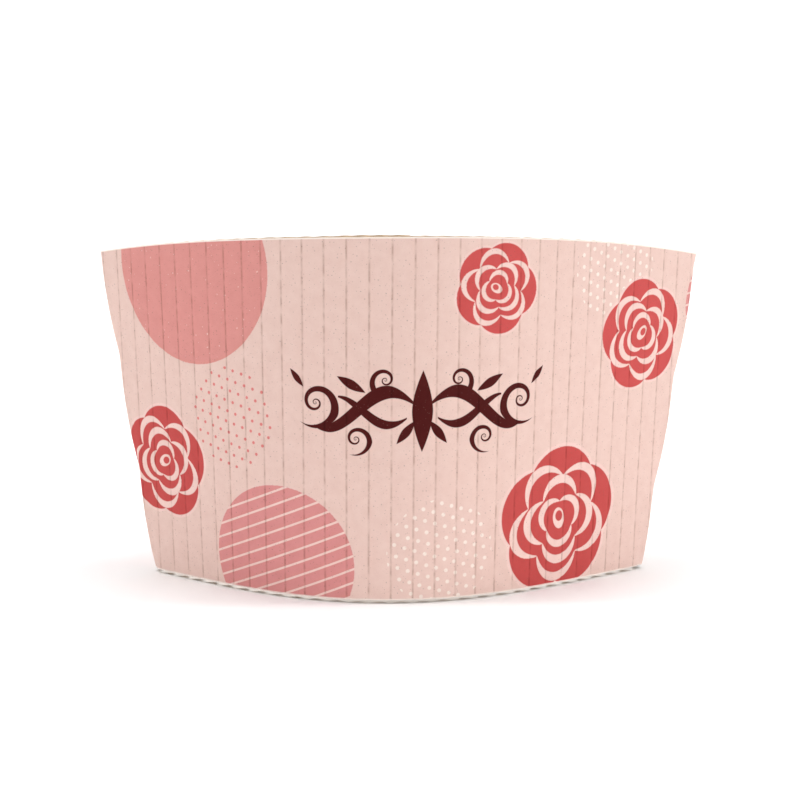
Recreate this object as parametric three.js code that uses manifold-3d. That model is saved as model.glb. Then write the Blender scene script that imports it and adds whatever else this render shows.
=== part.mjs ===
// Paperboard sleeve for a takeaway cup, popped open and standing on its narrow rim.
// It is one fluted, single-faced board: a smooth outer liner with a waved medium glued inside it.
// The board is folded at two side creases and its ends are lapped and glued at the middle of the back.
// Millimetres, +Z up. The origin is in the plane of the lower rim, midway between the creases.
// The front panel faces -Y.

import * as THREE from 'three';
import { mergeVertices } from 'three/addons/utils/BufferGeometryUtils.js';
import Module from 'manifold-3d';

const wasm = await Module();
wasm.setup();

const DEG = Math.PI / 180;

// The flat blank is a sector of a ring. Its angles are seen from the ring's centre, the cone's apex.
const RIM_RADIUS = 341;
const WALL_HEIGHT = 56.4;
const PANEL_ANGLE = 20.8 * DEG;
const GLUE_LAP = 12;
const LAP_STEP_LENGTH = 9;
const END_BLUNT = 2;

// The board, from the printed face inwards.
const BOARD = 1.5;
const LINER = 0.3;
const MEDIUM = 0.2;
const FLUTE_PITCH = 3.6;
const FIRST_GLUE_LINE = 1.4;
const WASHBOARD = 0.06;
const GLUE_BITE = 0.08;

// The folds. Each panel turns by BOW_ANGLE from its middle to a crease, most of it near the middle.
const BOW_ANGLE = 39 * DEG;
const BOW_SKEW = -0.6;
const CREASE_RADIUS = 1.4;
const CREASED_BOARD = 0.95;
const CREASE_PRESS_WIDTH = 3;

// How finely the curves are cut into flats.
const BOW_FLAT = 5 * DEG;
const CREASE_FLATS = 6;
const WAVE_POINTS = [1 / 6, 1 / 3, 1 / 2, 2 / 3, 5 / 6];
const GLUE_SHARE = 0.1;

const HALF_PANEL = PANEL_ANGLE / 2;
const END_ANGLE = 2 * HALF_PANEL + GLUE_LAP / 2 / RIM_RADIUS;
const BEND_STEPS = 240;

// Turning per unit of blank angle at a place on a panel: bow is -1 at one crease and 1 at the other.
function bowCurvature(bow, bowHalf) {
  const bell = (1 - bow * bow) ** 3;
  const bellArea = 16 / 35;
  return BOW_ANGLE / (bowHalf * bellArea) * bell * (1 + BOW_SKEW * bow);
}

// Walks along a panel on the unit sphere about the apex, turning as it goes.
// Each stop holds the blank angle, the direction from the apex, the way ahead and the outward normal.
function walkPanel(leftTurn, rightTurn) {
  const creaseHalf = CREASE_RADIUS * (Math.PI / 2 - BOW_ANGLE) / RIM_RADIUS;
  const bowHalf = HALF_PANEL - creaseHalf;
  const spans = [
    { from: -HALF_PANEL, to: -bowHalf, steps: CREASE_FLATS, turn: () => leftTurn / creaseHalf },
    { from: -bowHalf, to: bowHalf, steps: BEND_STEPS, turn: (at) => bowCurvature(at / bowHalf, bowHalf) },
    { from: bowHalf, to: HALF_PANEL, steps: CREASE_FLATS, turn: () => rightTurn / creaseHalf },
  ];
  const stop = {
    angle: -HALF_PANEL,
    out: new THREE.Vector3(0, 0, 1),
    ahead: new THREE.Vector3(1, 0, 0),
    normal: new THREE.Vector3(0, -1, 0),
  };
  const stops = [copyStop(stop)];
  for (const span of spans) {
    const step = (span.to - span.from) / span.steps;
    for (let i = 0; i < span.steps; i++) {
      const middle = span.from + (i + 0.5) * step;
      const axis = stop.out.clone().multiplyScalar(span.turn(middle)).sub(stop.normal);
      const turned = axis.length() * step;
      axis.normalize();
      stop.out.applyAxisAngle(axis, turned);
      stop.ahead.applyAxisAngle(axis, turned);
      stop.normal.applyAxisAngle(axis, turned);
      stop.angle = span.from + (i + 1) * step;
      stops.push(copyStop(stop));
    }
  }
  return stops;
}

function copyStop(stop) {
  return {
    angle: stop.angle,
    out: stop.out.clone(),
    ahead: stop.ahead.clone(),
    normal: stop.normal.clone(),
  };
}

// Turns the walked panel so that both creases lie in the plane y = 0.
function levelPanel(stops) {
  const left = stops[0].out;
  const right = stops[stops.length - 1].out;
  const up = left.clone().add(right).normalize();
  const across = right.clone().sub(left).normalize();
  const back = up.clone().cross(across);
  const toFrame = new THREE.Matrix4().makeBasis(across, back, up).transpose();
  for (const stop of stops) {
    stop.out.applyMatrix4(toFrame);
    stop.ahead.applyMatrix4(toFrame);
    stop.normal.applyMatrix4(toFrame);
  }
  return stops;
}

// The creases turn until the front panel meets its mirror image, the back panel, without a gap.
function frontPanel() {
  let leftTurn = Math.PI / 2 - BOW_ANGLE;
  let rightTurn = leftTurn;
  let stops = [];
  for (let pass = 0; pass < 5; pass++) {
    stops = levelPanel(walkPanel(leftTurn, rightTurn));
    const leftAhead = stops[0].ahead;
    const rightAhead = stops[stops.length - 1].ahead;
    leftTurn += Math.atan2(leftAhead.x, -leftAhead.y);
    rightTurn += Math.atan2(rightAhead.x, rightAhead.y);
  }
  return stops;
}

const PANEL = frontPanel();

// Blank angles of the front panel at which one flat meets the next.
function panelRulings() {
  const rulings = [];
  let turned = 0;
  for (let i = 1; i < PANEL.length; i++) {
    const before = PANEL[i - 1];
    const here = PANEL[i];
    const turn = before.normal.angleTo(here.normal);
    const inCrease = i <= CREASE_FLATS || i >= PANEL.length - CREASE_FLATS;
    turned += turn;
    if (inCrease || turned >= BOW_FLAT) {
      rulings.push(here.angle);
      turned = 0;
    }
  }
  return rulings;
}

// All rulings on the strip from the front's middle round one side to the lapped end, as positive angles.
function sideRulings(side) {
  const onPanel = panelRulings().map((angle) => angle * side);
  const front = onPanel.filter((angle) => angle > 0);
  const back = onPanel.map((angle) => 2 * HALF_PANEL - angle).filter((angle) => angle > HALF_PANEL);
  const lapStart = 2 * HALF_PANEL - GLUE_LAP / 2 / RIM_RADIUS;
  const step = [1, 2 / 3, 1 / 3, 0].map((share) => lapStart - share * LAP_STEP_LENGTH / RIM_RADIUS);
  const all = [...front, ...back, ...step].filter((angle) => angle < END_ANGLE);
  return all.sort((a, b) => a - b);
}

const RULINGS = { left: sideRulings(-1), right: sideRulings(1) };

// Direction and normal of the printed face at any blank angle of the whole strip.
function faceAt(angle) {
  const onBack = Math.abs(angle) > HALF_PANEL;
  const along = onBack ? Math.sign(angle) * 2 * HALF_PANEL - angle : angle;
  let low = 0;
  let high = PANEL.length - 1;
  while (high - low > 1) {
    const middle = (low + high) >> 1;
    if (PANEL[middle].angle <= along) low = middle;
    else high = middle;
  }
  const share = (along - PANEL[low].angle) / (PANEL[high].angle - PANEL[low].angle);
  const out = PANEL[low].out.clone().lerp(PANEL[high].out, share).normalize();
  const normal = PANEL[low].normal.clone().lerp(PANEL[high].normal, share).normalize();
  if (onBack) {
    out.y = -out.y;
    normal.y = -normal.y;
  }
  return { out, normal };
}

// The inner end of the lap steps in by a board's thickness, less the bite of the glued flutes.
function lapDepth(angle) {
  if (angle > 0) return 0;
  const lapStart = 2 * HALF_PANEL - GLUE_LAP / 2 / RIM_RADIUS;
  const share = 1 - (lapStart + angle) / (LAP_STEP_LENGTH / RIM_RADIUS);
  return (BOARD - GLUE_BITE) * THREE.MathUtils.smoothstep(share, 0, 1);
}

// The scored creases are pressed thinner than the rest of the board.
function pressedShare(angle) {
  const fromCrease = Math.abs(Math.abs(angle) - HALF_PANEL) * RIM_RADIUS;
  const share = THREE.MathUtils.smoothstep(fromCrease, 0, CREASE_PRESS_WIDTH / 2);
  return THREE.MathUtils.lerp(CREASED_BOARD / BOARD, 1, share);
}

function depthAt(angle, depth) {
  return depth * pressedShare(angle) + lapDepth(angle);
}

const CORNER_HEIGHT = (RIM_RADIUS - WALL_HEIGHT) * PANEL[0].out.z;

// Places a point of the board by its distance from the apex, blank angle and depth below the print.
function place(radius, angle, depth) {
  const { out, normal } = faceAt(angle);
  const point = out.multiplyScalar(radius).addScaledVector(normal, -depthAt(angle, depth));
  point.z -= CORNER_HEIGHT;
  return point;
}

// Distance from the apex to the lower rim, which lies flat in the open state.
function lowerRimRadius(angle, depth) {
  const { out, normal } = faceAt(angle);
  return (CORNER_HEIGHT + depthAt(angle, depth) * normal.z) / out.z;
}

// Blank angle at which a flute line, straight and parallel to the front's middle line, meets the lower rim.
function lowerRimAngle(across, depth) {
  let angle = across / (RIM_RADIUS - WALL_HEIGHT);
  for (let i = 0; i < 12; i++) {
    angle = Math.asin(across / lowerRimRadius(angle, depth));
  }
  return angle;
}

// One flute line as a chain of points, from the upper rim down to the lower rim or the lapped end.
function fluteLine(across, depth) {
  const side = Math.sign(across) || 1;
  const rulings = side < 0 ? RULINGS.left : RULINGS.right;
  const top = Math.abs(Math.asin(across / RIM_RADIUS));
  const bottom = Math.min(Math.abs(lowerRimAngle(across, depth)), END_ANGLE);
  const skip = 0.02 / RIM_RADIUS;
  const chain = [{ key: top, point: place(RIM_RADIUS, side * top, depth) }];
  for (const angle of rulings) {
    if (angle < top + skip || angle > bottom - skip) continue;
    chain.push({ key: angle, point: place(Math.abs(across) / Math.sin(angle), side * angle, depth) });
  }
  const cutByEnd = bottom === END_ANGLE;
  const lastRadius = cutByEnd ? Math.abs(across) / Math.sin(END_ANGLE) : lowerRimRadius(side * bottom, depth);
  const last = place(lastRadius, side * bottom, depth);
  if (!cutByEnd) last.z = 0;
  chain.push({ key: bottom, point: last });
  return { across, depth, chain };
}

// Depth of the waved medium's outer (-1) or inner (1) face at a share of the pitch from a glue line.
function waveDepth(share, face) {
  const swing = (BOARD - LINER - MEDIUM) / 2;
  const middle = LINER + MEDIUM / 2 + swing * (1 - Math.cos(2 * Math.PI * share));
  const slope = 2 * Math.PI * swing / FLUTE_PITCH * Math.sin(2 * Math.PI * share);
  return middle + face * MEDIUM / 2 * Math.hypot(1, slope);
}

// The board's section between two glue lines, as flute lines. Each flute has one open channel.
function boardSection(firstLine, lastLine) {
  const printed = [];
  const waved = [];
  const channels = [];
  for (let line = firstLine; line < lastLine; line++) {
    const start = FIRST_GLUE_LINE + line * FLUTE_PITCH;
    const lineAt = (share, depth) => fluteLine(start + share * FLUTE_PITCH, depth);
    printed.push(lineAt(0, WASHBOARD), lineAt(0.5, 0));
    waved.push(lineAt(0, waveDepth(0, 1)));
    waved.push(...WAVE_POINTS.map((share) => lineAt(share, waveDepth(share, 1))));
    const underside = WAVE_POINTS.map((share) => lineAt(share, waveDepth(share, -1)));
    channels.push([lineAt(GLUE_SHARE, LINER), ...underside, lineAt(1 - GLUE_SHARE, LINER)]);
  }
  const end = FIRST_GLUE_LINE + lastLine * FLUTE_PITCH;
  printed.push(fluteLine(end, WASHBOARD));
  waved.push(fluteLine(end, waveDepth(0, 1)));
  return { printed, waved, channels };
}

// Fills the wall between two neighbouring flute lines with triangles, level by level.
function wallBetween(first, second, triangles) {
  const swap = first.depth > second.depth || (first.depth === second.depth && first.across > second.across);
  const [a, b] = swap ? [second.chain, first.chain] : [first.chain, second.chain];
  const add = (p, q, r) => triangles.push(swap ? [p, r, q] : [p, q, r]);
  const near = 1e-9;
  let i = 0;
  let j = 0;
  while (i < a.length - 1 || j < b.length - 1) {
    const nextA = i < a.length - 1 ? a[i + 1].key : Infinity;
    const nextB = j < b.length - 1 ? b[j + 1].key : Infinity;
    const lastPair = i === a.length - 2 && j === b.length - 2;
    if (Math.abs(nextA - nextB) < near || lastPair) {
      add(a[i].point, a[i + 1].point, b[j + 1].point);
      add(a[i].point, b[j + 1].point, b[j].point);
      i += 1;
      j += 1;
    } else if (nextA < nextB) {
      add(a[i].point, a[i + 1].point, b[j].point);
      i += 1;
    } else {
      add(a[i].point, b[j + 1].point, b[j].point);
      j += 1;
    }
  }
}

// Closes both rims, flute by flute.
function addRims({ printed, waved, channels }, triangles) {
  const flat = (loop) => loop.map((line) => new THREE.Vector2(line.across, line.depth));
  const perFlute = WAVE_POINTS.length + 1;
  channels.forEach((channel, flute) => {
    const above = printed.slice(2 * flute, 2 * flute + 3);
    const below = waved.slice(perFlute * flute, perFlute * (flute + 1) + 1).reverse();
    const outline = [...above, ...below];
    const chains = [...outline, ...channel].map((line) => line.chain);
    for (const corners of THREE.ShapeUtils.triangulateShape(flat(outline), [flat(channel)])) {
      const [a, b, c] = corners.map((corner) => chains[corner]);
      triangles.push([a[0].point, b[0].point, c[0].point]);
      triangles.push([a.at(-1).point, c.at(-1).point, b.at(-1).point]);
    }
  });
}

function stripSolid(firstLine, lastLine) {
  const section = boardSection(firstLine, lastLine);
  const outline = [...section.printed, ...section.waved.toReversed()];
  const triangles = [];
  for (const loop of [outline, ...section.channels]) {
    loop.forEach((line, i) => wallBetween(line, loop[(i + 1) % loop.length], triangles));
  }
  addRims(section, triangles);
  const geometry = new THREE.BufferGeometry();
  const places = triangles.flat().flatMap((point) => point.toArray());
  geometry.setAttribute('position', new THREE.Float32BufferAttribute(places, 3));
  return mergeVertices(geometry, 1e-4);
}

function toManifold(geometry) {
  const mesh = new wasm.Mesh({
    numProp: 3,
    vertProperties: new Float32Array(geometry.attributes.position.array),
    triVerts: new Uint32Array(geometry.index.array),
  });
  return new wasm.Manifold(mesh);
}

function toGeometry(solid) {
  const mesh = solid.getMesh();
  const geometry = new THREE.BufferGeometry();
  geometry.setAttribute('position', new THREE.BufferAttribute(mesh.vertProperties, 3));
  geometry.setIndex(new THREE.BufferAttribute(mesh.triVerts, 1));
  geometry.computeVertexNormals();
  return geometry;
}

// The two halves of the strip share one glue line at the front and are glued where they lap at the back.
function sleeveGeometry() {
  const reach = RIM_RADIUS * Math.sin(END_ANGLE) - END_BLUNT * Math.tan(END_ANGLE);
  const lastRight = Math.floor((reach - FIRST_GLUE_LINE) / FLUTE_PITCH);
  const lastLeft = Math.floor((reach + FIRST_GLUE_LINE) / FLUTE_PITCH);
  const right = toManifold(stripSolid(0, lastRight));
  const left = toManifold(stripSolid(-lastLeft, 0));
  return toGeometry(right.add(left));
}

const board = new THREE.MeshStandardMaterial({ color: 0xe9cfc4, roughness: 0.85, metalness: 0 });
const sleeve = new THREE.Mesh(sleeveGeometry(), board);
sleeve.name = 'cup_sleeve';

const cupSleeve = new THREE.Group();
cupSleeve.add(sleeve);

export default cupSleeve;
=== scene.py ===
import math

import bpy
import numpy as np
from mathutils import Matrix, Vector
from mathutils.geometry import tessellate_polygon


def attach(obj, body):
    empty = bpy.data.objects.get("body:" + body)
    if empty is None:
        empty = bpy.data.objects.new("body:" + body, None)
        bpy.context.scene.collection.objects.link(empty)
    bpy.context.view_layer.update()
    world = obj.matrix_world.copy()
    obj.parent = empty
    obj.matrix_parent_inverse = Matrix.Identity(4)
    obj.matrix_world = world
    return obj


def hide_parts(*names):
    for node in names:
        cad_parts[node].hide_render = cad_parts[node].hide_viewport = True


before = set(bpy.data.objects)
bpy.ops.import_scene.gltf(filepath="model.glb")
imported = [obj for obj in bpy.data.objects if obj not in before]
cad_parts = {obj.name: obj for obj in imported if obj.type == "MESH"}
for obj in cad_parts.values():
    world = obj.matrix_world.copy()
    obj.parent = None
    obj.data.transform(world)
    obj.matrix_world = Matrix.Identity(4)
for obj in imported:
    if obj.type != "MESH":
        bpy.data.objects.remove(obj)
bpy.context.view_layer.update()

SLEEVE = "cup_sleeve"
MM = 0.001

# The flat blank, in millimetres, as in the part's source.
RIM_RADIUS = 341.0
WALL_HEIGHT = 56.4
HALF_PANEL = math.radians(20.8) / 2
GLUE_LAP = 12.0
LAP_STEP_LENGTH = 9.0
END_BLUNT = 2.0

# The board, from the printed face inwards.
BOARD = 1.5
LINER = 0.3
MEDIUM = 0.2
FLUTE_PITCH = 3.6
FIRST_GLUE_LINE = 1.4
LAP_CLEARANCE = 0.02

# The folds.
BOW_ANGLE = math.radians(39)
BOW_SKEW = -0.6
CREASE_RADIUS = 1.4
CREASED_BOARD = 0.95
CREASE_PRESS_WIDTH = 3.0
CREASE_BUCKLE = 0.6
CREASE_BUCKLE_WIDTH = 2.2

# Fineness of the visible surface.
BOW_FLAT = math.radians(1.8)
BOW_STEPS = 240
CREASE_STEPS = 10
LAP_STEPS = 6
SMOOTH_BELOW = math.radians(38)

# Relief of the printed face across one flute: share of the pitch, depth in millimetres.
PRINTED_RELIEF = [
    (0, 0.1),
    (0.05, 0.07),
    (0.13, 0.03),
    (0.28, 0.008),
    (0.5, 0.0),
    (0.72, 0.008),
    (0.87, 0.03),
    (0.95, 0.07),
]
WAVE_PARTS = 14
WAVE_SHARES = [i / WAVE_PARTS for i in range(1, WAVE_PARTS)]
# Share of a flute on each side of a glue line where the medium is stuck to the liner.
GLUE_SHARE = 0.1
# Gap kept between the medium and the liner beside the glue, so that the channel stays open, in millimetres.
CHANNEL_GAP = 0.01

END_ANGLE = 2 * HALF_PANEL + GLUE_LAP / 2 / RIM_RADIUS
LAP_START = 2 * HALF_PANEL - GLUE_LAP / 2 / RIM_RADIUS


def unit(rows):
    return rows / np.linalg.norm(rows, axis=-1, keepdims=True)


def bow_curvature(bow, bow_half):
    bell_area = 16 / 35
    return BOW_ANGLE / (bow_half * bell_area) * (1 - bow * bow) ** 3 * (1 + BOW_SKEW * bow)


def walk_panel(left_turn, right_turn):
    """Angles of the stops along the front panel, with each one's direction, way ahead and outward normal."""
    crease_half = CREASE_RADIUS * (math.pi / 2 - BOW_ANGLE) / RIM_RADIUS
    bow_half = HALF_PANEL - crease_half
    spans = [
        (-HALF_PANEL, -bow_half, CREASE_STEPS, lambda at: left_turn / crease_half),
        (-bow_half, bow_half, BOW_STEPS, lambda at: bow_curvature(at / bow_half, bow_half)),
        (bow_half, HALF_PANEL, CREASE_STEPS, lambda at: right_turn / crease_half),
    ]
    out = Vector((0, 0, 1))
    ahead = Vector((1, 0, 0))
    normal = Vector((0, -1, 0))
    stops = [(-HALF_PANEL, out.copy(), ahead.copy(), normal.copy())]
    for start, end, steps, turn in spans:
        step = (end - start) / steps
        for i in range(steps):
            axis = out * turn(start + (i + 0.5) * step) - normal
            spin = Matrix.Rotation(axis.length * step, 3, axis.normalized())
            out, ahead, normal = spin @ out, spin @ ahead, spin @ normal
            stops.append((start + (i + 1) * step, out.copy(), ahead.copy(), normal.copy()))
    angles = np.array([stop[0] for stop in stops])
    return angles, *(np.array([stop[k] for stop in stops]) for k in (1, 2, 3))


def front_panel():
    """The front panel, turned so that both creases lie in the plane y = 0, where the back panel starts."""
    left_turn = right_turn = math.pi / 2 - BOW_ANGLE
    for _ in range(5):
        angles, out, ahead, normal = walk_panel(left_turn, right_turn)
        up = unit(out[0] + out[-1])
        across = unit(out[-1] - out[0])
        back = np.cross(up, across)
        to_frame = np.stack([across, back, up])
        out, ahead, normal = out @ to_frame.T, ahead @ to_frame.T, normal @ to_frame.T
        left_turn += math.atan2(ahead[0][0], -ahead[0][1])
        right_turn += math.atan2(ahead[-1][0], ahead[-1][1])
    return angles, out, normal


PANEL_ANGLES, PANEL_OUT, PANEL_NORMAL = front_panel()


def panel_rulings():
    """Angles where the front panel is divided: each stop of a crease, and each small turn of the bow."""
    turns = np.arccos(np.clip((PANEL_NORMAL[1:] * PANEL_NORMAL[:-1]).sum(1), -1, 1))
    rulings = []
    turned = 0.0
    last = len(PANEL_ANGLES) - 1
    for i, turn in enumerate(turns, 1):
        turned += turn
        if i <= CREASE_STEPS or i >= last - CREASE_STEPS or turned >= BOW_FLAT:
            rulings.append(PANEL_ANGLES[i])
            turned = 0.0
    return np.array(rulings)


def side_rulings(side):
    """All rulings from the front's middle round one side to the lapped end, as positive angles."""
    on_panel = panel_rulings() * side
    back = 2 * HALF_PANEL - on_panel
    step = LAP_START - np.linspace(1, 0, LAP_STEPS) * LAP_STEP_LENGTH / RIM_RADIUS
    near_crease = HALF_PANEL + np.array([-1, 1]) * CREASE_PRESS_WIDTH / RIM_RADIUS
    every = np.concatenate([on_panel[on_panel > 0], back[back > HALF_PANEL], step, near_crease])
    return np.unique(every[every < END_ANGLE].round(7))


def face_at(angles):
    """Direction from the apex and outward normal of the printed face, at angles on the whole strip."""
    on_back = np.abs(angles) > HALF_PANEL
    along = np.where(on_back, np.sign(angles) * 2 * HALF_PANEL - angles, angles)
    flip = np.where(on_back, -1.0, 1.0)
    found = []
    for rows in (PANEL_OUT, PANEL_NORMAL):
        vectors = unit(np.stack([np.interp(along, PANEL_ANGLES, rows[:, k]) for k in range(3)], -1))
        vectors[:, 1] *= flip
        found.append(vectors)
    return found


def smoothstep(share):
    share = np.clip(share, 0, 1)
    return share * share * (3 - 2 * share)


def depth_at(angles, depth, across):
    """Depth under the smooth printed face, with pressed and buckled creases and the lap's inward step."""
    from_crease = np.abs(np.abs(angles) - HALF_PANEL) * RIM_RADIUS
    thin = CREASED_BOARD / BOARD
    pressed = thin + (1 - thin) * smoothstep(from_crease / (CREASE_PRESS_WIDTH / 2))
    flute = (across - FIRST_GLUE_LINE) / FLUTE_PITCH
    hollow = 0.5 - 0.5 * np.cos(2 * np.pi * flute)
    buckle = CREASE_BUCKLE * hollow * np.exp(-(from_crease / CREASE_BUCKLE_WIDTH) ** 2)
    lap = smoothstep(1 - (LAP_START + angles) / (LAP_STEP_LENGTH / RIM_RADIUS))
    return depth * pressed + buckle + np.where(angles < 0, (BOARD + LAP_CLEARANCE) * lap, 0)


CORNER_HEIGHT = (RIM_RADIUS - WALL_HEIGHT) * PANEL_OUT[0][2]


def place(radius, angles, depth, across):
    out, normal = face_at(angles)
    points = out * radius[:, None] - normal * depth_at(angles, depth, across)[:, None]
    points[:, 2] -= CORNER_HEIGHT
    return points


def lower_rim_radius(angles, depth, across):
    out, normal = face_at(angles)
    return (CORNER_HEIGHT + depth_at(angles, depth, across) * normal[:, 2]) / out[:, 2]


class Board:
    """The board's section as flute lines, each a chain of points from the upper rim to the lower rim."""

    def __init__(self):
        self.across = []
        self.depth = []

    def line(self, across, depth):
        self.across.append(across)
        self.depth.append(depth)
        return len(self.across) - 1

    def bend(self):
        """Works out every chain and stores all the points of all the lines."""
        across = np.array(self.across)
        depth = np.array(self.depth)
        side = np.where(across < 0, -1.0, 1.0)
        top = np.abs(np.arcsin(across / RIM_RADIUS))
        angle = across / (RIM_RADIUS - WALL_HEIGHT)
        for _ in range(12):
            angle = np.arcsin(across / lower_rim_radius(angle, depth, across))
        bottom = np.minimum(np.abs(angle), END_ANGLE)
        rulings = {-1.0: side_rulings(-1), 1.0: side_rulings(1)}
        skip = 0.02 / RIM_RADIUS
        self.keys = []
        self.first = []
        count = 0
        for i in range(len(across)):
            between = rulings[side[i]]
            between = between[(between > top[i] + skip) & (between < bottom[i] - skip)]
            self.keys.append(np.concatenate([[top[i]], between, [bottom[i]]]))
            self.first.append(count)
            count += len(self.keys[-1])
        owner = np.repeat(np.arange(len(across)), [len(k) for k in self.keys])
        keys = np.concatenate(self.keys)
        u, d, s = across[owner], depth[owner], side[owner]
        with np.errstate(divide="ignore", invalid="ignore"):
            radius = np.abs(u) / np.sin(keys)
        starts = np.array(self.first)
        ends = np.append(starts[1:], count) - 1
        radius[starts] = RIM_RADIUS
        at_rim = ends[bottom < END_ANGLE]
        radius[at_rim] = lower_rim_radius((s * keys)[at_rim], d[at_rim], u[at_rim])
        self.points = place(radius, s * keys, d, u)
        self.points[at_rim, 2] = 0
        self.blank = np.stack([radius * np.sin(s * keys), radius * np.cos(keys)], -1)
        self.from_rims = np.stack([RIM_RADIUS - radius, self.points[:, 2]], -1)

    def wall(self, a, b, faces):
        """Fills the strip between two lines, ruling by ruling."""
        ka, kb, fa, fb = self.keys[a], self.keys[b], self.first[a], self.first[b]
        i = j = 0
        while i < len(ka) - 1 or j < len(kb) - 1:
            next_a = ka[i + 1] if i < len(ka) - 1 else math.inf
            next_b = kb[j + 1] if j < len(kb) - 1 else math.inf
            last_pair = i == len(ka) - 2 and j == len(kb) - 2
            if abs(next_a - next_b) < 1e-9 or last_pair:
                faces.append((fa + i, fa + i + 1, fb + j + 1, fb + j))
                i += 1
                j += 1
            elif next_a < next_b:
                faces.append((fa + i, fa + i + 1, fb + j))
                i += 1
            else:
                faces.append((fa + i, fb + j + 1, fb + j))
                j += 1

    def cap(self, outline, hole, faces):
        """Closes both rims of one flute."""
        loops = [[Vector((self.across[k], self.depth[k], 0)) for k in loop] for loop in (outline, hole)]
        flat = outline + hole
        for corners in tessellate_polygon(loops):
            a, b, c = (flat[k] for k in corners)
            turn = (self.across[b] - self.across[a]) * (self.depth[c] - self.depth[a])
            turn -= (self.across[c] - self.across[a]) * (self.depth[b] - self.depth[a])
            if turn < 0:
                b, c = c, b
            faces.append(tuple(self.first[k] for k in (a, b, c)))
            faces.append(tuple(self.first[k] + len(self.keys[k]) - 1 for k in (a, c, b)))


def wave_depth(share, face):
    """Depth of the waved medium's outer (-1) or inner (1) face."""
    swing = (BOARD - LINER - MEDIUM) / 2
    middle = LINER + MEDIUM / 2 + swing * (1 - math.cos(2 * math.pi * share))
    slope = 2 * math.pi * swing / FLUTE_PITCH * math.sin(2 * math.pi * share)
    return middle + face * MEDIUM / 2 * math.hypot(1, slope)


def sleeve_faces():
    """The bent board, and its faces by finish."""
    board = Board()
    reach = RIM_RADIUS * math.sin(END_ANGLE) - END_BLUNT * math.tan(END_ANGLE)
    last_right = math.floor((reach - FIRST_GLUE_LINE) / FLUTE_PITCH)
    last_left = math.floor((reach + FIRST_GLUE_LINE) / FLUTE_PITCH)
    printed, waved, channels = [], [], []
    for flute in range(-last_left, last_right):
        start = FIRST_GLUE_LINE + flute * FLUTE_PITCH
        printed += [board.line(start + share * FLUTE_PITCH, depth) for share, depth in PRINTED_RELIEF]
        for share in [0] + WAVE_SHARES:
            waved.append(board.line(start + share * FLUTE_PITCH, wave_depth(share, 1)))
        under = []
        for share in WAVE_SHARES:
            if GLUE_SHARE < share < 1 - GLUE_SHARE:
                depth = max(wave_depth(share, -1), LINER + CHANNEL_GAP)
                under.append(board.line(start + share * FLUTE_PITCH, depth))
        left = board.line(start + GLUE_SHARE * FLUTE_PITCH, LINER)
        right = board.line(start + (1 - GLUE_SHARE) * FLUTE_PITCH, LINER)
        liner = []
        for share, relief in PRINTED_RELIEF[::-1]:
            if GLUE_SHARE < share < 1 - GLUE_SHARE:
                liner.append(board.line(start + share * FLUTE_PITCH, LINER + relief))
        channels.append([left] + under + [right] + liner)
    end = FIRST_GLUE_LINE + last_right * FLUTE_PITCH
    printed.append(board.line(end, PRINTED_RELIEF[0][1]))
    waved.append(board.line(end, wave_depth(0, 1)))
    board.bend()
    faces = {"print": [], "medium": [], "cut": []}
    for a, b in zip(printed, printed[1:]):
        board.wall(a, b, faces["print"])
    for a, b in zip(waved[1:], waved):
        board.wall(a, b, faces["medium"])
    for channel in channels:
        for a, b in zip(channel, channel[1:] + channel[:1]):
            board.wall(a, b, faces["medium"])
    board.wall(printed[-1], waved[-1], faces["cut"])
    board.wall(waved[0], printed[0], faces["cut"])
    per_print, per_wave = len(PRINTED_RELIEF), len(WAVE_SHARES) + 1
    for flute, channel in enumerate(channels):
        above = printed[per_print * flute:per_print * (flute + 1) + 1]
        below = waved[per_wave * flute:per_wave * (flute + 1) + 1][::-1]
        board.cap(above + below, channel, faces["cut"])
    return board, faces


def make_sleeve(materials):
    board, faces = sleeve_faces()
    mesh = bpy.data.meshes.new("sleeve_board")
    every = [face for kind in faces for face in faces[kind]]
    mesh.from_pydata((board.points * MM).tolist(), [], every)
    slots = np.repeat(np.arange(len(faces)), [len(faces[kind]) for kind in faces])
    mesh.polygons.foreach_set("material_index", slots.astype(np.int32))
    corners = np.empty(len(mesh.loops), dtype=np.int32)
    mesh.loops.foreach_get("vertex_index", corners)
    for name, places in (("Blank", board.blank), ("Rims", board.from_rims)):
        layer = mesh.uv_layers.new(name=name)
        layer.data.foreach_set("uv", (places[corners] / UV_UNIT).astype(np.float32).ravel())
    for kind in faces:
        mesh.materials.append(materials[kind])
    mesh.polygons.foreach_set("use_smooth", np.ones(len(mesh.polygons), dtype=bool))
    mesh.set_sharp_from_angle(angle=SMOOTH_BELOW)
    mesh.update()
    piece = bpy.data.objects.new("sleeve_board", mesh)
    bpy.context.scene.collection.objects.link(piece)
    return piece


# The print is drawn on the flat blank. Its maps are in units of 100 mm.
UV_UNIT = 100.0


def linear(red, green, blue):
    """A colour from 0 to 255, as the eye sees it, made linear for a shader."""
    scaled = [value / 255 for value in (red, green, blue)]
    return tuple(v / 12.92 if v < 0.04045 else ((v + 0.055) / 1.055) ** 2.4 for v in scaled) + (1.0,)


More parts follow.
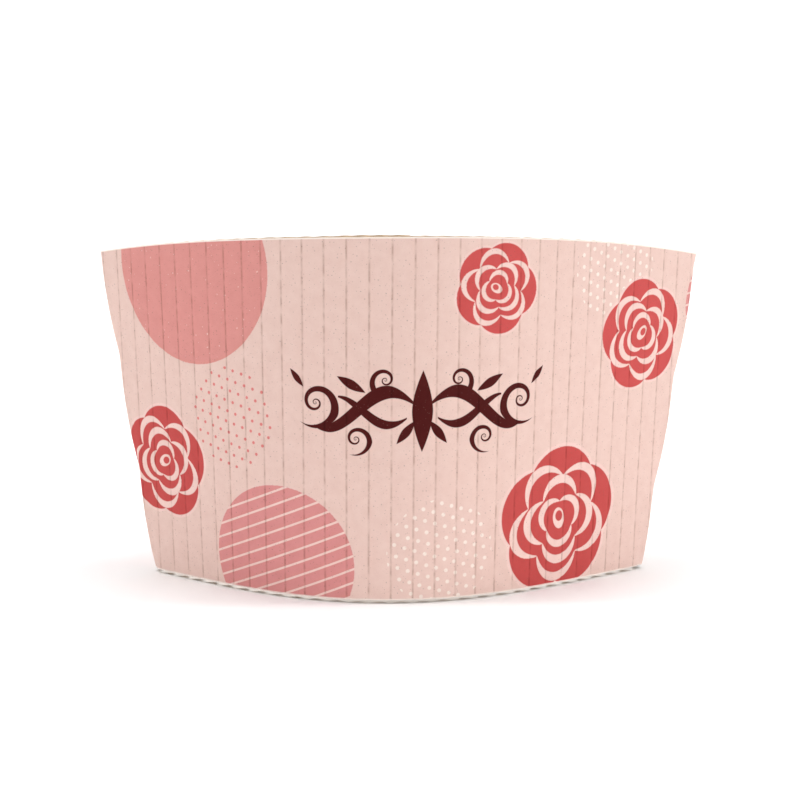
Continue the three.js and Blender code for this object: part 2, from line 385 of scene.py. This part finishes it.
class Nodes:
    """Short names for the nodes of one tree. Every call gives the new node's output."""

    def __init__(self, tree):
        self.tree = tree

    def new(self, kind):
        return self.tree.nodes.new(kind)

    def feed(self, socket, value):
        if isinstance(value, bpy.types.NodeSocket):
            self.tree.links.new(value, socket)
        elif value is not None:
            socket.default_value = value

    def math(self, operation, *values, clamp=False):
        node = self.new("ShaderNodeMath")
        node.operation = operation
        node.use_clamp = clamp
        for socket, value in zip(node.inputs, values):
            self.feed(socket, value)
        return node.outputs[0]

    def add(self, a, b):
        return self.math("ADD", a, b)

    def sub(self, a, b):
        return self.math("SUBTRACT", a, b)

    def mul(self, a, b):
        return self.math("MULTIPLY", a, b)

    def div(self, a, b):
        return self.math("DIVIDE", a, b)

    def length(self, x, y):
        return self.math("SQRT", self.add(self.mul(x, x), self.mul(y, y)))

    def inside(self, value, edge, blur):
        """1 where value is under edge, 0 over it, with a soft step of width blur."""
        node = self.new("ShaderNodeMapRange")
        node.interpolation_type = "SMOOTHSTEP"
        self.feed(node.inputs["Value"], self.sub(edge, value))
        self.feed(node.inputs["From Min"], -blur / 2)
        self.feed(node.inputs["From Max"], blur / 2)
        return node.outputs["Result"]

    def ramp(self, value, low, high, to_low=0.0, to_high=1.0):
        node = self.new("ShaderNodeMapRange")
        self.feed(node.inputs["Value"], value)
        limits = {"From Min": low, "From Max": high, "To Min": to_low, "To Max": to_high}
        for name, limit in limits.items():
            self.feed(node.inputs[name], limit)
        return node.outputs["Result"]

    def mix(self, factor, a, b, blend="MIX"):
        node = self.new("ShaderNodeMix")
        node.data_type = "RGBA"
        node.blend_type = blend
        self.feed(node.inputs["Factor"], factor)
        self.feed(node.inputs["A"], a)
        self.feed(node.inputs["B"], b)
        return node.outputs["Result"]

    def turn(self, x, y, angle):
        """The place (x, y) seen in axes turned by a fixed angle."""
        c, s = math.cos(angle), math.sin(angle)
        return self.add(self.mul(x, c), self.mul(y, s)), self.sub(self.mul(y, c), self.mul(x, s))

    def noise(self, vector, scale, detail=2.0, roughness=0.5):
        node = self.new("ShaderNodeTexNoise")
        self.feed(node.inputs["Vector"], vector)
        self.feed(node.inputs["Scale"], scale)
        self.feed(node.inputs["Detail"], detail)
        self.feed(node.inputs["Roughness"], roughness)
        return node.outputs["Fac"]

    def use(self, group, **values):
        node = self.new("ShaderNodeGroup")
        node.node_tree = group
        for name, value in values.items():
            self.feed(node.inputs[name], value)
        return node.outputs


def new_group(name, inputs, outputs):
    group = bpy.data.node_groups.new(name, "ShaderNodeTree")
    for label in inputs:
        group.interface.new_socket(label, in_out="INPUT", socket_type="NodeSocketFloat")
    for label in outputs:
        group.interface.new_socket(label, in_out="OUTPUT", socket_type="NodeSocketFloat")
    nodes = Nodes(group)
    entry = group.nodes.new("NodeGroupInput")
    leave = group.nodes.new("NodeGroupOutput")
    return group, nodes, entry.outputs, leave.inputs


# Tiers of the flower from the rim to the heart: petals, start angle, reach and line width.
# Reach and width, and the sizes below, are shares of the flower's radius.
FLOWER_TIERS = [(5, 0.3, 0.80, 0.060), (4, 1.0, 0.56, 0.060), (3, 0.2, 0.34, 0.050)]
FLOWER_LOBES = 5
LOBE_TURN = 0.9
LOBE_DEPTH = 0.14
PETAL_DIP = 0.26
FLOWER_HEART = 0.15
FLOWER_HALO = 0.05


def flower_group():
    """A flower of radius 1: a lobed field, and tiers of petals drawn as crescents with thin ends."""
    group, n, entry, leave = new_group("flower", ["X", "Y", "Blur"], ["Field", "Lines", "Halo"])
    x, y, blur = entry["X"], entry["Y"], entry["Blur"]
    radius = n.length(x, y)
    angle = n.math("ARCTAN2", y, x)

    def petal(count, start):
        return n.math("ABSOLUTE", n.math("SINE", n.mul(n.add(angle, start), count / 2)))

    def soft(distance, edge):
        step = n.div(n.sub(edge, distance), blur)
        return n.math("ADD", step, 0.5, clamp=True)

    lobe = n.add(1 - LOBE_DEPTH, n.mul(n.math("POWER", petal(FLOWER_LOBES, LOBE_TURN), 0.8), LOBE_DEPTH))
    n.feed(leave["Field"], soft(radius, lobe))
    n.feed(leave["Halo"], soft(radius, n.add(lobe, FLOWER_HALO)))
    lines = None
    for count, start, reach, width in FLOWER_TIERS:
        swell = petal(count, start)
        path = n.mul(n.add(1 - PETAL_DIP, n.mul(swell, PETAL_DIP)), reach)
        off = n.math("ABSOLUTE", n.sub(radius, path))
        line = soft(off, n.mul(n.math("POWER", swell, 0.6), width))
        lines = line if lines is None else n.math("MAXIMUM", lines, line)
    heart = soft(n.length(n.sub(x, 0.02), n.mul(n.sub(y, 0.01), 1.5)), FLOWER_HEART)
    pip = soft(n.length(n.sub(x, 0.05), n.mul(y, 1.2)), FLOWER_HEART * 0.5)
    heart = n.math("SUBTRACT", heart, pip, clamp=True)
    n.feed(leave["Lines"], n.math("MAXIMUM", lines, heart))
    return group


def scroll_group():
    """A mirror-symmetric scroll, 42 mm wide: waved stems, curls, a leaf in the middle and small leaves."""
    group, n, entry, leave = new_group("scroll", ["X", "Y"], ["Ink"])
    x = n.math("ABSOLUTE", entry["X"])
    y = entry["Y"]
    blur = 0.12

    def stroke(height, steep, start, end, widest):
        along = n.math("MULTIPLY_ADD", x, 1 / (end - start), -start / (end - start))
        within = n.mul(n.math("GREATER_THAN", along, 0.0), n.math("LESS_THAN", along, 1.0))
        swell = n.math("SINE", n.mul(n.math("ADD", along, 0.0, clamp=True), math.pi))
        off = n.math("ABSOLUTE", n.mul(n.sub(y, height), steep))
        return n.mul(n.inside(off, n.add(n.mul(swell, widest), 0.12), blur), within)

    def curl(cx, cy, reach, widest, way, start):
        dx, dy = n.sub(x, cx), n.sub(y, cy)
        radius = n.math("MAXIMUM", n.length(dx, dy), 0.01)
        tightness = 0.23
        turns = n.div(n.math("LOGARITHM", radius, math.e), tightness)
        phase = n.sub(turns, n.mul(n.math("ARCTAN2", dy, dx), way))
        phase = n.div(n.add(phase, start), 2 * math.pi)
        off = n.math("ABSOLUTE", n.sub(n.math("FRACT", phase), 0.5))
        off = n.mul(n.mul(off, radius), 2 * math.pi * tightness)
        width = n.mul(n.div(radius, reach), widest)
        return n.mul(n.inside(off, width, blur), n.inside(radius, reach, blur))

    def leaf(cx, cy, lean, long, wide):
        lx, ly = n.turn(n.sub(x, cx), n.sub(y, cy), lean)
        share = n.div(n.math("ABSOLUTE", lx), long)
        edge = n.mul(n.sub(1.0, n.math("POWER", share, 1.7)), wide)
        return n.inside(n.math("ABSOLUTE", ly), edge, blur)

    wave = n.mul(n.math("SINE", n.mul(x, 2 * math.pi / 21)), 3.1)
    low_wave = n.mul(n.math("SINE", n.math("MULTIPLY_ADD", x, -2 * math.pi / 17, 0.4)), 2.2)
    parts = [
        stroke(wave, 0.8, 1.0, 17.4, 0.95),
        stroke(low_wave, 0.85, 2.5, 13.5, 0.6),
        curl(17.2, 1.0, 4.2, 0.85, 1.0, 1.4),
        curl(6.0, 5.0, 2.9, 0.6, -1.0, 0.2),
        curl(10.6, -4.6, 2.7, 0.55, 1.0, 3.0),
        leaf(0.0, 0.0, math.pi / 2, 6.6, 1.7),
        leaf(2.6, -3.4, -0.9, 2.4, 0.7),
        leaf(11.4, 4.2, 0.5, 2.6, 0.75),
        leaf(20.4, 4.8, 0.9, 1.8, 0.5),
    ]
    ink = parts[0]
    for part in parts[1:]:
        ink = n.math("MAXIMUM", ink, part)
    n.feed(leave["Ink"], ink)
    return group


# Places on the blank: angle in degrees from the front's middle, distance from the apex in mm.
# Flowers: angle, distance, radius in mm, turn in radians, share of the print's red in them.
FLOWERS = [
    (-8.8, 304, 9.8, 0.4, 0.95),
    (5.7, 294, 12.6, 1.9, 1.0),
    (2.6, 333, 7.4, 2.7, 0.75),
    (8.3, 326, 9.6, 0.9, 0.75),
    (-14.6, 330, 9.0, 1.2, 0.9),
    (-17.5, 296, 12.0, 2.2, 0.9),
    (14.2, 300, 8.0, 0.2, 0.9),
    (18.4, 326, 11.0, 1.4, 0.9),
]
# Discs: angle, distance, radius, and whether it is striped.
DISCS = [
    (-6.6, 337, 16.2, False),
    (-4.2, 288, 13.0, True),
    (11.8, 334, 10.0, True),
    (15.9, 290, 15.0, False),
    (-12.6, 300, 12.5, True),
]
# Fields of dots: angle, distance, radius of the field, whether they are red.
DOT_FIELDS = [
    (-5.6, 312, 8.5, True),
    (1.2, 290, 9.0, False),
    (6.8, 337, 9.0, False),
    (-18.6, 322, 9.0, False),
    (13.6, 316, 8.0, True),
]
SCROLL_PLACE = (0.5, 313.5)
STRIPE_PITCH = 2.05
STRIPE_SHARE = 0.17
STRIPE_LEAN = 0.35
DOT_PITCH = 1.75
DOT_RADIUS = 0.33
DOT_LEAN = 0.3
EDGE_BLUR = 0.16
# Widths in mm of the pale strips along the rims: at the upper rim the liner's raw cut edge, at the lower rim
# the cut edge with a painted highlight.
PALE_EDGE_TOP = 0.2
PALE_EDGE_BOTTOM = 0.2

BOARD_COLOUR = linear(240, 210, 200)
PALE_COLOUR = linear(255, 241, 232)
RED_DEEP = linear(203, 84, 82)
RED_LIGHT = linear(228, 100, 100)
PETAL_LINE = linear(248, 216, 208)
DISC_PINK = linear(228, 156, 150)
DISC_STRIPED = linear(226, 152, 150)
BROWN = linear(80, 24, 23)
# Painted shade along the glue-line grooves, partly a real darker tone of the liner there.
GLUE_LINE_SHADE = linear(222, 213, 208)
SPECK = linear(120, 92, 82)
INK_CLOUD = linear(242, 234, 232)
INK_GRAIN = linear(225, 215, 212)


class Print:
    """Draws the print, shape over shape, on the blank's map."""

    def __init__(self, n):
        self.n = n
        layer = n.new("ShaderNodeUVMap")
        layer.uv_map = "Blank"
        split = n.new("ShaderNodeSeparateXYZ")
        n.feed(split.inputs[0], layer.outputs["UV"])
        self.u = n.mul(split.outputs["X"], UV_UNIT)
        self.v = n.mul(split.outputs["Y"], UV_UNIT)
        self.vector = layer.outputs["UV"]
        self.ragged = n.mul(n.sub(n.noise(self.vector, 260.0, 2.0), 0.5), 0.16)

    def around(self, degrees, distance):
        """Coordinates in mm from a place on the blank, upright there."""
        angle = math.radians(degrees)
        x = self.n.sub(self.u, distance * math.sin(angle))
        y = self.n.sub(self.v, distance * math.cos(angle))
        return self.n.turn(x, y, -angle)

    def disc_mask(self, x, y, radius):
        return self.n.inside(self.n.add(self.n.length(x, y), self.ragged), radius, EDGE_BLUR)

    def disc(self, colour, degrees, distance, radius, striped):
        n = self.n
        x, y = self.around(degrees, distance)
        mask = self.disc_mask(x, y, radius)
        if not striped:
            speck = n.inside(0.735, n.noise(self.vector, 190.0, 1.0), 0.02)
            tone = n.mix(n.mul(speck, 0.8), DISC_PINK, PETAL_LINE)
            return n.mix(mask, colour, tone)
        _, across = n.turn(x, y, STRIPE_LEAN)
        off = n.math("ABSOLUTE", n.sub(n.math("FRACT", n.div(across, STRIPE_PITCH)), 0.5))
        stripe = n.inside(off, STRIPE_SHARE / 2, 0.06)
        tone = n.mix(stripe, DISC_STRIPED, PETAL_LINE)
        return n.mix(mask, colour, tone)

    def dots(self, colour, degrees, distance, radius, red):
        n = self.n
        x, y = self.around(degrees, distance)
        field = n.inside(n.length(x, y), radius, 0.05)
        a, b = n.turn(x, y, -DOT_LEAN)
        row = n.div(b, DOT_PITCH)
        odd = n.mul(n.math("MODULO", n.math("FLOOR", n.math("ABSOLUTE", row)), 2.0), 0.5)
        column = n.add(n.div(a, DOT_PITCH), odd)
        dx = n.mul(n.sub(n.math("FRACT", column), 0.5), DOT_PITCH)
        dy = n.mul(n.sub(n.math("FRACT", row), 0.5), DOT_PITCH)
        dot = n.inside(n.length(dx, dy), DOT_RADIUS * (0.8 if red else 1.0), 0.14)
        strength = n.mul(n.mul(dot, field), 0.75 if red else 0.9)
        return n.mix(strength, colour, RED_LIGHT if red else PALE_COLOUR)

    def flower(self, colour, group, degrees, distance, radius, spin, red):
        n = self.n
        x, y = self.around(degrees, distance)
        x, y = n.turn(x, y, spin)
        x, y = n.div(n.add(x, self.ragged), radius), n.div(y, radius)
        out = n.use(group, X=x, Y=y, Blur=EDGE_BLUR / radius)
        fill = tuple(low + (high - low) * red for low, high in zip(RED_LIGHT, RED_DEEP))
        colour = n.mix(out["Halo"], colour, PETAL_LINE)
        colour = n.mix(out["Field"], colour, fill)
        return n.mix(n.mul(out["Lines"], out["Field"]), colour, PETAL_LINE)

    def scroll(self, colour, group):
        x, y = self.around(*SCROLL_PLACE)
        return self.n.mix(self.n.use(group, X=x, Y=y)["Ink"], colour, BROWN)

    def glue_line_painted_shade(self, colour):
        """Darkens a narrow, broken line over each glue line: partly painted shade of the shallow groove the
        liner sinks into there, partly a real darker tone of the liner.
        """
        n = self.n
        phase = n.math("FRACT", n.div(n.sub(self.u, FIRST_GLUE_LINE - FLUTE_PITCH / 2), FLUTE_PITCH))
        off = n.mul(n.math("ABSOLUTE", n.sub(phase, 0.5)), FLUTE_PITCH)
        broken = n.ramp(n.noise(self.vector, 60.0, 3.0), 0.38, 0.62, 0.2, 1.0)
        line = n.mul(n.inside(off, 0.15, 0.24), broken)
        # Multiplies in the painted groove shade over each glue line.
        return n.mix(line, colour, GLUE_LINE_SHADE, "MULTIPLY")

    def paper(self, colour):
        """Uneven ink and the dark flecks of recycled pulp."""
        n = self.n
        cloud = n.ramp(n.noise(self.vector, 50.0, 4.0, 0.65), 0.3, 0.7, 0.0, 0.5)
        colour = n.mix(cloud, colour, INK_CLOUD, "MULTIPLY")
        grain = n.ramp(n.noise(self.vector, 700.0, 2.0), 0.3, 0.7, 0.0, 0.12)
        colour = n.mix(grain, colour, INK_GRAIN, "MULTIPLY")
        fleck = n.inside(0.765, n.noise(self.vector, 330.0, 0.0), 0.03)
        return n.mix(n.mul(fleck, 0.35), colour, SPECK)

    def pale_edges_and_highlight(self, colour):
        n = self.n
        rims = n.new("ShaderNodeUVMap")
        rims.uv_map = "Rims"
        split = n.new("ShaderNodeSeparateXYZ")
        n.feed(split.inputs[0], rims.outputs["UV"])
        top = n.inside(n.mul(split.outputs["X"], UV_UNIT), PALE_EDGE_TOP, 0.12)
        bottom = n.inside(n.mul(split.outputs["Y"], UV_UNIT), PALE_EDGE_BOTTOM, 0.12)
        # The lower strip is partly a painted highlight along the lit lower edge.
        return n.mix(n.math("MAXIMUM", top, n.mul(bottom, 0.8)), colour, PALE_COLOUR)


def new_material(name, roughness, sheen=0.0):
    material = bpy.data.materials.new(name)
    material.use_nodes = True
    shader = material.node_tree.nodes["Principled BSDF"]
    shader.inputs["Roughness"].default_value = roughness
    shader.inputs["Specular IOR Level"].default_value = 0.08
    shader.inputs["Sheen Weight"].default_value = sheen
    return material, Nodes(material.node_tree), shader


def paper_bump(n, shader, vector, scale, height):
    """Fibre relief, height in metres."""
    bump = n.new("ShaderNodeBump")
    bump.inputs["Strength"].default_value = 0.6
    bump.inputs["Distance"].default_value = height
    n.feed(bump.inputs["Height"], n.noise(vector, scale, 4.0, 0.6))
    n.feed(shader.inputs["Normal"], bump.outputs["Normal"])


def print_material():
    material, n, shader = new_material("printed_liner", 0.7)
    art = Print(n)
    flower = flower_group()
    colour = BOARD_COLOUR
    for disc in DISCS:
        colour = art.disc(colour, *disc)
    for field in DOT_FIELDS:
        colour = art.dots(colour, *field)
    for place_and_size in FLOWERS:
        colour = art.flower(colour, flower, *place_and_size)
    colour = art.scroll(colour, scroll_group())
    colour = art.glue_line_painted_shade(art.paper(colour))
    n.feed(shader.inputs["Base Color"], art.pale_edges_and_highlight(colour))
    paper_bump(n, shader, art.vector, 420.0, 0.00006)
    return material


def plain_paper(name, light, dark, fibre_scale):
    """Unprinted paper: two tones mixed by fibre noise, with flecks."""
    material, n, shader = new_material(name, 0.85, 0.1)
    layer = n.new("ShaderNodeUVMap")
    layer.uv_map = "Blank"
    vector = layer.outputs["UV"]
    tone = n.ramp(n.noise(vector, fibre_scale, 5.0, 0.65), 0.3, 0.7)
    colour = n.mix(tone, light, dark)
    fleck = n.inside(0.73, n.noise(vector, 300.0, 1.0), 0.03)
    colour = n.mix(n.mul(fleck, 0.4), colour, SPECK)
    n.feed(shader.inputs["Base Color"], colour)
    paper_bump(n, shader, vector, 520.0, 0.0001)
    return material


def stage_material(name, colour):
    material, n, shader = new_material(name, 0.9)
    place_node = n.new("ShaderNodeTexCoord")
    tone = n.ramp(n.noise(place_node.outputs["Object"], 3.0, 1.0), 0.0, 1.0, 0.0, 0.02)
    n.feed(shader.inputs["Base Color"], n.mix(tone, colour, (0.9, 0.9, 0.9, 1.0)))
    return material


# The floor lies this far below the sleeve's flat lower rim, in metres, so the whole rim stands clear of it.
RIM_LIFT = 0.0006


def make_stage():
    """A round pale floor that curves up into a pale wall far away on all sides."""
    reach, bend, height, sides = 1.4, 0.7, 2.6, 64
    rise = [(reach, 0.0)]
    for i in range(1, 17):
        turn = math.pi / 2 * i / 16
        rise.append((reach + bend * math.sin(turn), bend * (1 - math.cos(turn))))
    rise.append((reach + bend, height))
    points = [(0.0, 0.0, -RIM_LIFT)]
    for radius, z in rise:
        for k in range(sides):
            turn = 2 * math.pi * k / sides
            points.append((radius * math.cos(turn), radius * math.sin(turn), z - RIM_LIFT))
    faces = []
    for k in range(sides):
        after = (k + 1) % sides
        faces.append((0, 1 + k, 1 + after))
        for ring in range(len(rise) - 1):
            low, high = 1 + ring * sides, 1 + (ring + 1) * sides
            faces.append((low + after, low + k, high + k, high + after))
    mesh = bpy.data.meshes.new("floor")
    mesh.from_pydata(points, [], faces)
    mesh.polygons.foreach_set("use_smooth", np.ones(len(faces), dtype=bool))
    mesh.materials.append(stage_material("floor_paper", (0.96, 0.96, 0.96, 1.0)))
    floor = bpy.data.objects.new("floor", mesh)
    bpy.context.scene.collection.objects.link(floor)


def area_light(name, place_at, aim_at, size, power, colour=(1.0, 1.0, 1.0)):
    lamp = bpy.data.lights.new(name, "AREA")
    lamp.shape = "RECTANGLE"
    lamp.size, lamp.size_y = size
    lamp.energy = power
    lamp.color = colour
    light = bpy.data.objects.new(name, lamp)
    light.location = place_at
    light.rotation_euler = (Vector(aim_at) - Vector(place_at)).to_track_quat("-Z", "Y").to_euler()
    bpy.context.scene.collection.objects.link(light)


def make_lights():
    middle = (0.0, 0.0, 0.03)
    area_light("key_light", (1.15, -0.75, 0.24), middle, (0.5, 0.3), 3.8, (1.0, 0.99, 0.975))
    area_light("fill_light", (-0.95, -0.9, 0.24), middle, (0.6, 0.3), 1.15, (1.0, 0.99, 0.985))
    area_light("top_light", (0.0, -0.11, 1.3), middle, (2.4, 0.14), 15.0)
    area_light("wall_light", (0.0, 0.3, 1.6), (0.0, 2.1, 0.9), (1.6, 1.4), 30.0)
    world = bpy.data.worlds.new("studio")
    world.use_nodes = True
    background = world.node_tree.nodes["Background"]
    background.inputs["Color"].default_value = (1.0, 1.0, 1.0, 1.0)
    background.inputs["Strength"].default_value = 0.04
    bpy.context.scene.world = world
    bpy.context.scene.view_settings.view_transform = "Standard"


# The photograph's viewpoint, in the sleeve's own axes.
CAMERA_DISTANCE = 0.255
CAMERA_HEIGHT = 0.0591
CAMERA_ASIDE = -0.00014
CAMERA_DOWN = 0.1143
CAMERA_ROLL = 0.00434
SLEEVE_YAW = 0.04683
FOCAL_PIXELS = 1453.8
IMAGE_PIXELS = 800
SENSOR = 36.0


def make_camera():
    lens = bpy.data.cameras.new("camera")
    lens.sensor_width = SENSOR
    lens.lens = FOCAL_PIXELS / IMAGE_PIXELS * SENSOR
    camera = bpy.data.objects.new("camera", lens)
    spin = Matrix.Rotation(-SLEEVE_YAW, 4, "Z")
    tip = Matrix.Rotation(math.pi / 2 - CAMERA_DOWN, 4, "X")
    roll = Matrix.Rotation(CAMERA_ROLL, 4, "Z")
    stand = Matrix.Translation((CAMERA_ASIDE, -CAMERA_DISTANCE, CAMERA_HEIGHT))
    camera.matrix_world = spin @ stand @ tip @ roll
    bpy.context.scene.collection.objects.link(camera)
    bpy.context.scene.camera = camera


materials = {
    "print": print_material(),
    "medium": plain_paper("medium_paper", linear(226, 200, 170), linear(206, 176, 144), 90.0),
    "cut": plain_paper("cut_edge", linear(250, 234, 218), linear(232, 208, 188), 160.0),
}
sleeve = make_sleeve(materials)
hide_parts(SLEEVE)
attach(sleeve, "root")

make_stage()
make_lights()
make_camera()
